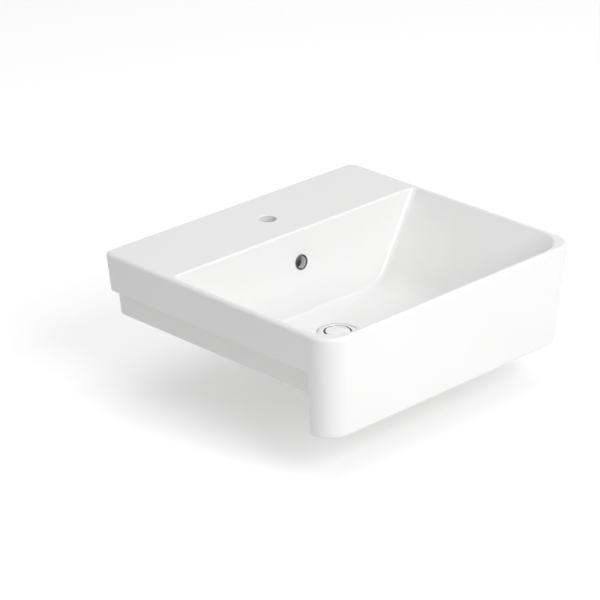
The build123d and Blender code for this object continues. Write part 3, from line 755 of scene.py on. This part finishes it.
@dataclass
class China:
    """The glazed casting: rim, tap deck, bowl, walls, skirt, overflow channel and waste boss."""

    sizes: BasinSizes = field(default_factory=BasinSizes)
    edge_softness: float = 1.6
    rim_steps: int = 12
    floor_steps: int = 26
    least_step: float = 0.12
    band_round: float = 2.5
    upper_wall: float = 8.0

    def __post_init__(self) -> None:
        """Work out the sections of the three kinds of bowl wall."""
        s = self.sizes
        side, front, rear = s.half_width - s.rim_width, s.waste_y - s.bowl_front_y, s.bowl_y - s.waste_y
        self.side = WallSection(s, s.wall_slope, s.floor_round, side - s.recess_radius)
        self.front = WallSection(s, s.wall_slope, s.floor_round, front - s.recess_radius)
        self.rear = WallSection(s, s.rear_slope, s.rear_floor_round, rear - s.recess_radius)

    def build(self, finishes: Finishes) -> bpy.types.Object:
        """Build the casting, dress it and let it stand for its CAD node.

        Args:
            finishes: The materials.

        Returns:
            The casting.
        """
        shape = self._shell()
        shape = joined(shape, self._bowl_outside(), Join.ADD)
        shape = joined(shape, self._channel(self.sizes.channel_wall), Join.ADD)
        shape = joined(shape, self._boss(), Join.ADD)
        shape = joined(shape, self._bowl_inside(), Join.CUT)
        shape = joined(shape, self._channel(0.0), Join.CUT)
        shape = joined(shape, self._tap_hole(), Join.CUT)
        shape = joined(shape, self._overflow_hole(), Join.CUT)
        self._clean(shape)
        shape.name = shape.data.name = "basin_china"
        shade_smooth(shape)
        dress(shape, finishes.glaze)
        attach(shape, Body.BASIN.value)
        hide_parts("basin_body")
        return shape

    @staticmethod
    def _clean(shape: bpy.types.Object) -> None:
        """Merge doubled points that cutting left."""
        work = bmesh.new()
        work.from_mesh(shape.data)
        bmesh.ops.remove_doubles(work, verts=work.verts, dist=1e-6)
        bmesh.ops.dissolve_degenerate(work, edges=work.edges, dist=1e-6)
        loose = sum(1 for edge in work.edges if len(edge.link_faces) != 2)
        litres = work.calc_volume() * 1e3
        LOG.info("china: %d faces, %.4f litres, %d open edges", len(work.faces), litres, loose)
        work.to_mesh(shape.data)
        work.free()

    @staticmethod
    def _outer_inset(depth: float, lean_deg: float, radius: float) -> float:
        """Inset of an outer wall from the rim line, with the round of the rim's outer edge.

        Args:
            depth: Depth below the rim.
            lean_deg: How far the wall leans in, in degrees.
            radius: Radius of the rim's outer edge.

        Returns:
            The inset.
        """
        lean = radians(lean_deg)
        if depth >= radius * (1 + sin(lean)):
            return depth * tan(lean)
        reach = radius * tan((pi / 2 + lean) / 2)
        return reach - sqrt(radius**2 - (radius - depth) ** 2)

    def _outer_loop(
        self, depth: float, inset: float = 0.0, rim_round: float = 0.0, foot: float = 0.0
    ) -> Loop:
        """The casting's outside at a depth.

        Args:
            depth: Depth below the rim.
            inset: Distance inside the outer wall.
            rim_round: Radius of the rim's outer edge, or 0 for a sharp one.
            foot: Further inset of the foot's round.

        Returns:
            The loop.
        """
        s = self.sizes
        side = inset + foot + self._outer_inset(depth, s.side_lean, rim_round)
        front = inset + foot + self._outer_inset(depth, s.front_lean, rim_round)
        pulled = side - depth * tan(radians(s.side_lean)) if rim_round or foot else inset
        return rounded_loop(
            s.rim_z - depth,
            s.half_width - side,
            s.rear_y - side,
            s.front_y + front,
            max(s.rear_corner - pulled, s.rear_corner / 2),
            s.front_corner - pulled,
        )

    def _leaning_block(self, name: str, z_top: float, z_low: float, inset: float) -> bpy.types.Object:
        """Leaning block inside the outer walls, with sharp ends."""
        depths = (self.sizes.rim_z - z_top, self.sizes.rim_z - z_low)
        return lofted(name, [self._outer_loop(depth, inset) for depth in depths])

    def _shell(self) -> bpy.types.Object:
        """Rim, deck, outer walls, skirt and band, hollow below."""
        s = self.sizes
        lean = radians(s.side_lean)
        turn = pi / 2 + lean
        loops = []
        for step in range(self.rim_steps + 1):
            depth = s.rim_round * (1 - cos(turn * step / self.rim_steps))
            loops.append(self._outer_loop(depth, rim_round=s.rim_round))
        for depth in (20.0, 40.0, s.rim_z, 90.0, 120.0, 145.0):
            loops.append(self._outer_loop(depth))
        foot_reach = s.skirt_round * tan((pi / 2 - lean) / 2)
        for step in range(9):
            height = s.skirt_round * (1 - sin(lean)) * (1 - sin(pi / 2 * step / 8))
            round_in = foot_reach - sqrt(s.skirt_round**2 - (s.skirt_round - height) ** 2)
            depth = s.skirt_height - height
            loops.append(self._outer_loop(depth, foot=round_in + height * tan(lean)))
        shape = lofted("basin_china", loops)
        shape = joined(shape, block("notch", (-FAR, s.skirt_y, s.skirt_z - 50), (FAR, 100, 0)), Join.CUT)
        self._soften_notch(shape)
        shape = joined(shape, self._band(), Join.ADD)
        return joined(shape, self._hollow(), Join.CUT)

    def _soften_notch(self, shape: bpy.types.Object) -> None:
        """Round the outer edges where the skirt ends and where the seating strip starts."""
        s = self.sizes

        def on_notch(first: Vector, second: Vector) -> bool:
            """Whether an edge lies on the skirt's rear face or on the seating plane."""
            behind = all(abs(point.y - s.skirt_y) < 0.02 for point in (first, second))
            below = all(abs(point.z) < 0.02 for point in (first, second))
            return behind != below

        soften_edges(shape, self.edge_softness, on_notch)

    def _band(self) -> bpy.types.Object:
        """Band that goes down into the worktop's cut-out."""
        s = self.sizes
        low = s.rim_z + s.band_depth
        loops = [self._outer_loop(depth, s.seat_strip) for depth in (s.rim_z - 15.0, low - 20.0)]
        for step in range(7):
            angle = pi / 2 * step / 6
            depth = low - self.band_round * (1 - sin(angle))
            loops.append(self._outer_loop(depth, s.seat_strip + self.band_round * (1 - cos(angle))))
        return lofted("band", loops)

    def _hollow(self) -> bpy.types.Object:
        """Space inside the outer walls, below the rim's solid part and under the deck."""
        s = self.sizes
        ceiling = s.rim_z - s.ceiling_depth
        low = s.skirt_z - 30.0
        shape = self._leaning_block("hollow", ceiling, low, s.wall)
        shelf = block("shelf", (-FAR, s.skirt_y - s.wall, low - 50), (FAR, 100, s.wall))
        shape = joined(shape, shelf, Join.CUT)
        shape = joined(shape, self._leaning_block("throat", 20.0, low, s.seat_strip + s.wall), Join.ADD)
        room = self._leaning_block("deck_room", s.rim_z - s.deck, 15.0, s.wall)
        front = block("deck_front", (-FAR, -900, 0), (FAR, s.bowl_y + s.deck_root, 100))
        return joined(shape, joined(room, front, Join.CUT), Join.ADD)

    def _bowl_loop(self, depth: float, wall: float = 0.0) -> Loop:
        """The bowl at a depth, or its underside.

        Args:
            depth: Depth below the rim.
            wall: Thickness of the bowl for its underside, or 0.

        Returns:
            The loop.
        """
        s = self.sizes
        sharp = wall > 0
        side = self.side.inset(depth, sharp)
        rear = self.rear.inset(depth, sharp)
        share = max(0.0, (depth - s.floor_edge) / s.floor_fall)
        at_waste = 0.96 * s.recess_radius
        return rounded_loop(
            s.rim_z - depth - wall,
            s.half_width - s.rim_width - side + wall,
            s.bowl_y - rear + wall,
            s.bowl_front_y + self.front.inset(depth, sharp) - wall,
            s.bowl_rear_corner + (at_waste - s.bowl_rear_corner) * share + wall + max(0.0, -rear),
            s.bowl_front_corner + (at_waste - s.bowl_front_corner) * share + wall + max(0.0, -side),
        )

    def _bowl_inside(self) -> bpy.types.Object:
        """Form that the bowl, the waste recess and the waste hole leave, from above the rim down."""
        s = self.sizes
        turn = pi / 2 - self.rear.lean
        turns = [turn * step / self.rim_steps for step in range(self.rim_steps + 1)]
        depths = {s.rim_inner_round * (1 - cos(angle)) for angle in turns}
        depths |= {self.upper_wall}
        depths |= set(self.side.foot_depths(self.floor_steps))
        depths |= {depth for depth in self.rear.foot_depths(self.floor_steps // 2) if depth < s.floor_edge}
        depths |= {s.waste_depth - drop for drop in (6.0, 4.6, 3.4, 2.2, 1.3, 0.6)}
        loops = [self._bowl_loop(depth) for depth in self._spaced(sorted(depths), self.least_step)]
        above = [(x, y, s.rim_z + 20.0) for x, y, _ in loops[0]]
        return lofted("bowl", [above, *loops, *self._waste_loops(loops[-1])])

    @staticmethod
    def _spaced(depths: list[float], least: float) -> list[float]:
        """Drop depths that lie closer to the one before than the least distance."""
        kept = depths[:1]
        for depth in depths[1:]:
            if depth - kept[-1] >= least or depth < 1.0:
                kept.append(depth)
        return kept

    def _waste_loops(self, last: Loop) -> list[Loop]:
        """Round loops of the waste recess and hole, point for point below the floor's last loop."""
        s = self.sizes
        edge, deep = s.recess_radius, s.waste_depth + s.recess_depth
        section = [
            (edge + 1.5, s.waste_depth - 0.09),
            (edge + 0.75, s.waste_depth + 0.1),
            (edge + 0.22, s.waste_depth + 0.55),
            (edge, s.waste_depth + 1.3),
            (edge, deep - 0.8),
            (edge - 0.3, deep - 0.25),
            (edge - 1.0, deep),
            (s.waste_hole_radius + 1.0, deep),
            (s.waste_hole_radius + 0.3, deep + 0.3),
            (s.waste_hole_radius, deep + 1.0),
            (s.waste_hole_radius, s.rim_z - s.boss_z + 20.0),
        ]
        loops = []
        for radius, depth in section:
            loop = []
            for x, y, _ in last:
                way = Vector((x, y - s.waste_y)).normalized() * radius
                loop.append((way.x, way.y + s.waste_y, s.rim_z - depth))
            loops.append(loop)
        return loops

    def _bowl_outside(self) -> bpy.types.Object:
        """Underside of the bowl as a solid, which the inside is cut from later."""
        s = self.sizes
        top = s.ceiling_depth - s.bowl_wall - 1.0
        depths = [top, 60.0, 90.0, *self.side.foot_depths(14), 142.0, s.waste_depth]
        return lofted("bowl_outside", [self._bowl_loop(depth, s.bowl_wall) for depth in depths])

    def _channel(self, grow: float) -> bpy.types.Object:
        """Overflow channel behind and under the bowl, or its outside.

        Args:
            grow: Thickness of the channel's walls, or 0 for the channel itself.

        Returns:
            The form.
        """
        s = self.sizes
        lean = tan(self.rear.lean)

        def behind(z: float) -> float:
            """Back of the bowl's rear wall at a height."""
            return s.bowl_y - (s.rim_z - z - s.bowl_wall) * lean + s.bowl_wall

        roof = s.rim_z - s.overflow_depth + s.channel_above + grow
        base = s.boss_z + s.channel_below - grow
        near = s.channel_gap + grow
        shelf = base + s.channel_gap + 2 * grow
        outline = [
            (behind(roof) - grow, roof),
            (behind(roof) + near, roof),
            (behind(base) + near, base),
            (s.waste_y, base),
            (s.waste_y, shelf),
            (behind(shelf) - grow, shelf),
        ]
        half = s.channel_width / 2 + grow
        return lofted("channel", [[(x, y, z) for y, z in outline] for x in (-half, half)])

    def _boss(self) -> bpy.types.Object:
        """Boss under the bowl that the waste is clamped to."""
        s = self.sizes
        edge = s.boss_radius
        outline = [(0, s.recess_z), (edge, s.recess_z), (edge, s.boss_z + 1.5)]
        outline += [(edge - 1.5, s.boss_z), (0, s.boss_z)]
        return turned("boss", outline, (0, s.waste_y))

    def _tap_hole(self) -> bpy.types.Object:
        """Tap hole with a soft glazed edge."""
        s = self.sizes
        outline = [(0, s.rim_z + 20), (s.tap_radius + s.tap_round, s.rim_z + 20)]
        for step in range(9):
            angle = pi / 2 * step / 8
            reach = s.tap_radius + s.tap_round * (1 - sin(angle))
            outline.append((reach, s.rim_z - s.tap_round * (1 - cos(angle))))
        outline += [(s.tap_radius, s.rim_z - 30), (0, s.rim_z - 30)]
        return turned("tap_hole", outline, (0, s.rear_y - s.tap_from_rear), 72)

    def overflow_place(self) -> Matrix:
        """Place of the overflow, in millimetres: Z points out of the rear wall into the bowl."""
        s = self.sizes
        y = s.bowl_y - s.overflow_depth * tan(self.rear.lean)
        turn = Matrix.Rotation(pi / 2 - self.rear.lean, 4, "X")
        return Matrix.Translation((0, y, s.rim_z - s.overflow_depth)) @ turn

    def _overflow_hole(self) -> bpy.types.Object:
        """Round hole through the rear wall into the channel."""
        s = self.sizes
        half = s.bowl_wall + s.channel_gap / 2
        outline = [(0, half), (s.overflow_radius, half), (s.overflow_radius, -half), (0, -half)]
        shape = turned("overflow_hole", outline, steps=64)
        place_in_mm(shape, self.overflow_place())
        return shape


def place_in_mm(shape: bpy.types.Object, place: Matrix) -> None:
    """Move a form's points by a place that is given in millimetres.

    Args:
        shape: The form.
        place: The place.
    """
    metres = Matrix.Scale(MM, 4) @ place @ Matrix.Scale(1 / MM, 4)
    shape.data.transform(metres)


@dataclass
class OverflowTrim:
    """Ring in the overflow hole: a narrow chrome lip, coloured near-black as painted dark reflection, on a
    white plastic sleeve.
    """

    opening: float = 9.0
    sleeve: float = 10.7
    outer: float = 12.5
    lip: float = 2.6
    length: float = 8.0
    mouth: float = 1.6

    def build(self, china: China, finishes: Finishes) -> bpy.types.Object:
        """Build the ring in its place on the rear wall.

        Args:
            china: The casting that carries it.
            finishes: The materials.

        Returns:
            The ring.
        """
        outline = [(self.opening, -self.length), (self.sleeve, -self.length)]
        outline += [(self.sleeve, 0.0), (self.outer, 0.0)]
        crest = self.outer - 1.5
        for step in range(1, 11):
            angle = pi / 2 * step / 10
            outline.append((crest + (self.outer - crest) * cos(angle), self.lip * sin(angle) ** 0.7))
        for step in range(1, 11):
            angle = pi / 2 * step / 10
            inward = self.opening + (crest - self.opening) * (1 - sin(angle))
            outline.append((inward, self.lip - (self.lip + self.mouth) * (1 - cos(angle))))
        shape = turned("overflow_ring_chrome", outline, steps=112)
        # The lip gets the near-black chrome, a painted dark reflection; the faces round the bore get white
        # acetal
        shape.data.materials.append(finishes.chrome_painted_dark_reflection)
        shape.data.materials.append(finishes.acetal)
        for face in shape.data.polygons:
            reach = Vector((face.center.x, face.center.y)).length / MM
            face.material_index = 1 if reach < self.opening + 0.35 else 0
        place_in_mm(shape, china.overflow_place())
        shade_smooth(shape, 40.0)
        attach(shape, Body.BASIN.value)
        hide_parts("overflow_ring")
        return shape


def arc_points(
    centre: tuple[float, float], radius: float, first_deg: float, last_deg: float, steps: int = 6
) -> list[tuple[float, float]]:
    """Points of a small round in a turned outline.

    Args:
        centre: Middle of the round as (radius, height), in millimetres.
        radius: Radius of the round.
        first_deg: Angle of the first point.
        last_deg: Angle of the last point.
        steps: Number of steps.

    Returns:
        The points, ends included.
    """
    points = []
    for step in range(steps + 1):
        angle = radians(first_deg + (last_deg - first_deg) * step / steps)
        points.append((centre[0] + radius * cos(angle), centre[1] + radius * sin(angle)))
    return points


@dataclass
class WasteBody:
    """Chrome waste: flange, conical seat, slotted tube with its pipe thread, and the web inside."""

    sizes: BasinSizes = field(default_factory=BasinSizes)
    seal: float = 1.6
    flange: float = 31.5
    flange_edge: float = 1.8
    flange_crown: float = 1.2
    seat_top: float = 22.8
    seat_depth: float = 6.0
    bore: float = 18.5
    neck: float = 22.4
    neck_length: float = 5.0
    thread: float = 20.95
    thread_pitch: float = 2.309
    thread_depth: float = 1.1
    tail: float = 88.0
    slot: float = 16.0
    slot_below: float = 8.0
    web_below: float = 62.0
    web_height: float = 7.0
    web_arm: float = 3.0
    hub: float = 7.0
    stud_hole: float = 4.1
    tail_chamfer: float = 1.2
    flange_round: float = 0.9
    lip_round: float = 0.45
    rows_per_turn: int = 6

    @property
    def flange_z(self) -> float:
        """Underside of the flange."""
        return self.sizes.recess_z + self.seal

    @property
    def lip_z(self) -> float:
        """Top of the flange's lip round the seat."""
        return self.flange_z + self.flange_edge + self.flange_crown

    def seat_radius(self, z: float) -> float:
        """Radius of the conical seat at a height."""
        return self.seat_top - (self.lip_z - z) * (self.seat_top - self.bore) / self.seat_depth

    def _thread(self, radius: float, height: float, angle: float) -> float:
        """Radius with the thread's groove in it.

        Args:
            radius: Radius of the turned outline.
            height: Height of the point.
            angle: Angle round the axis.

        Returns:
            The radius at that point.
        """
        low, high = self.flange_z - self.tail + 1.5, self.flange_z - self.neck_length - 0.5
        if radius < self.thread - 0.01 or radius > self.thread + 0.01 or not low < height < high:
            return radius
        turn = ((height / self.thread_pitch) - angle / (2 * pi)) % 1.0
        groove = 1.0 - abs(2.0 * turn - 1.0)
        fade = min(1.0, (height - low) / self.thread_pitch, (high - height) / self.thread_pitch)
        return radius - self.thread_depth * groove * fade

    def build(self, finishes: Finishes) -> bpy.types.Object:
        """Build the waste body and let it stand for its CAD node.

        Args:
            finishes: The materials.

        Returns:
            The waste body.
        """
        base, top = self.flange_z, self.lip_z
        foot = base - self.tail
        outline = [(self.bore, foot), (self.thread - self.tail_chamfer, foot)]
        length = self.tail - self.neck_length - self.tail_chamfer
        rows = int(length / self.thread_pitch * self.rows_per_turn)
        for row in range(rows + 1):
            outline.append((self.thread, foot + self.tail_chamfer + length * row / rows))
        outline += [(self.neck, base - self.neck_length), (self.neck, base), (self.flange - 0.3, base)]
        edge, lip = self.flange - self.flange_round, self.lip_round
        outline += arc_points((edge, base + self.flange_round), self.flange_round, -60.0, 75.0, 8)
        for step in range(1, 12):
            reach = edge - (edge - self.seat_top - 2 * lip) * step / 11
            swell = sin(pi / 2 * step / 11)
            outline.append((reach, base + self.flange_edge + (self.flange_crown - 0.05) * swell))
        outline += arc_points((self.seat_top + lip, top - lip), lip, 90.0, 180.0, 5)
        outline.append((self.seat_radius(top - 1.0), top - 1.0))
        outline += [(self.bore, top - self.seat_depth)]
        place = (0.0, self.sizes.waste_y)
        shape = turned("waste_body_chrome", outline, place, 72, self._thread)
        half, high = self.slot / 2, base - self.slot_below
        y = self.sizes.waste_y
        slot = block("slot", (-half, y - 40, high - self.slot), (half, y + 40, high))
        shape = joined(shape, slot, Join.CUT)
        shape = joined(shape, self._web(), Join.ADD)
        shade_smooth(shape, 30.0)
        dress(shape, finishes.chrome)
        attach(shape, Body.BASIN.value)
        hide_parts("waste_body")
        return shape

    def _web(self) -> bpy.types.Object:
        """Cross web with the hub that the cartridge screws into."""
        y, high = self.sizes.waste_y, self.flange_z - self.web_below
        low, reach, half = high - self.web_height, self.bore + 0.6, self.web_arm / 2
        web = block("web", (-reach, y - half, low), (reach, y + half, high))
        web = joined(web, block("arm", (-half, y - reach, low), (half, y + reach, high)), Join.ADD)
        hub = [(0.0, low - 0.01), (self.hub, low - 0.01), (self.hub, high + 0.01), (0.0, high + 0.01)]
        web = joined(web, turned("hub", hub, (0.0, y), 48), Join.ADD)
        hole = [(0.0, low - 2), (self.stud_hole, low - 2), (self.stud_hole, high + 2), (0.0, high + 2)]
        return joined(web, turned("stud_hole", hole, (0.0, y), 36), Join.CUT)


@dataclass
class Plug:
    """Domed chrome cap in its black rubber sleeve."""

    waste: WasteBody = field(default_factory=WasteBody)
    proud: float = 0.4
    edge: float = 3.2
    crown: float = 1.6
    cap: float = 19.7
    boss: float = 6.5
    boss_length: float = 9.0
    spindle: float = 3.1
    spindle_in: float = 6.0
    sleeve_top: float = 0.1
    seal_thickness: float = 2.4
    seal_gap: float = 0.3
    seal_round: float = 0.5
    cap_round: float = 1.0
    cap_round_drop: float = 0.72
    dome_edge: float = 0.9
    dome_edge_height: float = 0.35

    def build(self, finishes: Finishes) -> list[bpy.types.Object]:
        """Build the cap and the rubber round it.

        Args:
            finishes: The materials.

        Returns:
            The cap and the rubber.
        """
        place = (0.0, self.waste.sizes.waste_y)
        shoulder = self.waste.lip_z + self.proud
        base = shoulder - self.edge
        outline = [(0.0, shoulder + self.crown)]
        for step in range(1, 15):
            share = step / 15
            height = shoulder + self.crown - (self.crown - self.dome_edge_height) * share**2
            outline.append((share * (self.cap - self.dome_edge), height))
        middle = (self.cap - self.cap_round, shoulder - self.cap_round_drop)
        outline += arc_points(middle, self.cap_round, 72.0, 0.0, 8)
        outline += [(self.cap, base + 0.02), (self.boss, base + 0.02), (self.boss, base - self.boss_length)]
        hole = base - self.boss_length + self.spindle_in + 0.1
        outline += [(self.spindle, base - self.boss_length), (self.spindle, hole), (0.0, hole)]
        cap = turned("plug_cap_chrome", outline, place, 96)
        low = base - self.seal_thickness
        crest = self.waste.lip_z - self.sleeve_top
        rubber = [(self.boss + 0.1, low), (self.waste.seat_radius(low) - self.seal_gap, low)]
        rim, soft = self.waste.seat_radius(crest) - self.seal_gap, self.seal_round
        rubber.append((rim, crest - soft))
        rubber += arc_points((rim - soft, crest - soft), soft, 45.0, 90.0, 3)
        rubber += [(self.cap + 0.1, crest), (self.cap + 0.1, base), (self.boss + 0.1, base)]
        sleeve = turned("plug_seal_rubber", rubber, place, 96)
        parts = (
            (cap, "plug_cap", finishes.chrome, "chrome"),
            (sleeve, "plug_seal", finishes.rubber, "rubber"),
        )
        for shape, node, material, slot in parts:
            shade_smooth(shape, 35.0)
            dress(shape, material)
            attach(shape, Body.PLUG.value)
            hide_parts(node)
        return [cap, sleeve]


class CadDressing:
    """Gives the CAD nodes that keep their own shape their finishes."""

    def __init__(self, finishes: Finishes) -> None:
        """List the nodes and their finishes.

        Args:
            finishes: The materials.
        """
        self.plan = {
            "flange_seal": finishes.soft_ring,
            "under_seal": finishes.rubber,
            "slip_washer": finishes.nylon,
            "back_nut": finishes.brass,
            "spindle": finishes.brass,
            "cartridge_housing": finishes.brass,
            "cartridge_guide": finishes.brass,
            "spindle_seal": finishes.rubber,
            "index_rotor": finishes.acetal,
            "click_crown": finishes.acetal,
            "spindle_clip": finishes.steel,
            "return_spring": finishes.steel,
        }

    def build(self) -> None:
        """Dress each node."""
        for node, material in self.plan.items():
            dress(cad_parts[node], material)
            LOG.info("dressed %s with %s", node, material.name)


@dataclass
class Studio:
    """Floor, light and camera."""

    floor_z: float = -0.1741
    lens: float = 169.29
    eye: Point = (-2.8794, -3.0303, 1.7138)
    heading_deg: float = 44.94
    tilt_deg: float = 23.47
    ambient: float = 0.46
    key_power: float = 81.0
    key_size: float = 2.4
    key_from: Point = (-0.15, -3.4, 2.0)
    top_power: float = 27.0
    top_size: float = 2.6
    top_from: Point = (0.2, 0.1, 3.6)
    strip_power: float = 28.0
    strip_size: float = 2.4
    strip_from: Point = (2.0, -1.0, 2.1)
    floor_glow: float = 0.38
    aim: Point = (0.0, -0.23, -0.02)

    def build(self) -> None:
        """Set up the whole studio."""
        self._floor()
        self._world()
        self._lamp("key", self.key_from, self.key_power, self.key_size)
        self._lamp("overhead", self.top_from, self.top_power, self.top_size)
        self._lamp("strip", self.strip_from, self.strip_power, self.strip_size).visible_diffuse = False
        self._camera()
        bpy.context.scene.view_settings.view_transform = "Standard"

    def _floor(self) -> None:
        """Plain pale floor."""
        mesh = bpy.data.meshes.new("floor")
        work = bmesh.new()
        bmesh.ops.create_grid(work, x_segments=1, y_segments=1, size=12.0)
        work.to_mesh(mesh)
        work.free()
        floor = bpy.data.objects.new("floor", mesh)
        floor.location.z = self.floor_z
        bpy.context.scene.collection.objects.link(floor)
        material = bpy.data.materials.new("floor_paint")
        material.use_nodes = True
        shader = material.node_tree.nodes["Principled BSDF"]
        shader.inputs["Base Color"].default_value = (0.82, 0.82, 0.82, 1.0)
        shader.inputs["Roughness"].default_value = 0.9
        shader.inputs["Emission Color"].default_value = (1.0, 1.0, 1.0, 1.0)
        seen = self._seen(material.node_tree)
        glow = material.node_tree.nodes.new("ShaderNodeMath")
        glow.operation = "MULTIPLY"
        glow.inputs[1].default_value = self.floor_glow
        material.node_tree.links.new(seen, glow.inputs[0])
        material.node_tree.links.new(glow.outputs[0], shader.inputs["Emission Strength"])
        mesh.materials.append(material)

    @staticmethod
    def _seen(tree: bpy.types.NodeTree) -> bpy.types.NodeSocket:
        """Mask of what the camera sees directly, in metal or through glass.

        Args:
            tree: The node tree of the floor or the world.

        Returns:
            A socket that is 1 for those rays and 0 for the light that falls on the basin.
        """
        ray = tree.nodes.new("ShaderNodeLightPath")
        seen = ray.outputs["Is Camera Ray"]
        for label in ("Is Glossy Ray", "Is Transmission Ray"):
            either = tree.nodes.new("ShaderNodeMath")
            either.operation = "MAXIMUM"
            tree.links.new(seen, either.inputs[0])
            tree.links.new(ray.outputs[label], either.inputs[1])
            seen = either.outputs[0]
        return seen

    def _world(self) -> None:
        """Even light from all round, with a white background where it is seen."""
        world = bpy.data.worlds.new("studio")
        bpy.context.scene.world = world
        world.use_nodes = True
        nodes, links = world.node_tree.nodes, world.node_tree.links
        background = nodes["Background"]
        strength = nodes.new("ShaderNodeMapRange")
        strength.inputs["To Min"].default_value = self.ambient
        strength.inputs["To Max"].default_value = 1.0
        links.new(self._seen(world.node_tree), strength.inputs["Value"])
        links.new(strength.outputs["Result"], background.inputs["Strength"])
        background.inputs["Color"].default_value = (1.0, 1.0, 1.0, 1.0)

    def _lamp(self, name: str, place: Point, power: float, size: float) -> bpy.types.Object:
        """One large soft lamp that faces the basin.

        Args:
            name: Name of the lamp.
            place: Where it hangs.
            power: Its power in watts.
            size: Its side in metres.

        Returns:
            The lamp.
        """
        data = bpy.data.lights.new(name, "AREA")
        data.energy = power
        data.size = size
        lamp = bpy.data.objects.new(name, data)
        lamp.location = place
        way = Vector(self.aim) - Vector(place)
        lamp.rotation_euler = way.to_track_quat("-Z", "Y").to_euler()
        bpy.context.scene.collection.objects.link(lamp)
        return lamp

    def _camera(self) -> None:
        """Camera at the photograph's angle."""
        data = bpy.data.cameras.new("camera")
        data.lens = self.lens
        data.sensor_width = 36.0
        data.clip_end = 50.0
        camera = bpy.data.objects.new("camera", data)
        camera.location = self.eye
        camera.rotation_euler = (radians(90.0 - self.tilt_deg), 0.0, -radians(self.heading_deg))
        bpy.context.scene.collection.objects.link(camera)
        bpy.context.scene.camera = camera


def main() -> None:
    """Build the studio, the china, the fittings and their finishes."""
    logging.basicConfig(level=logging.INFO, format="%(message)s")
    Studio().build()
    finishes = Finishes()
    china = China()
    pieces = [china.build(finishes), OverflowTrim().build(china, finishes), WasteBody().build(finishes)]
    for piece in pieces + Plug().build(finishes):
        LOG.info("built %s, %d faces", piece.name, len(piece.data.polygons))
    CadDressing(finishes).build()


if __name__ == "__main__":
    main()
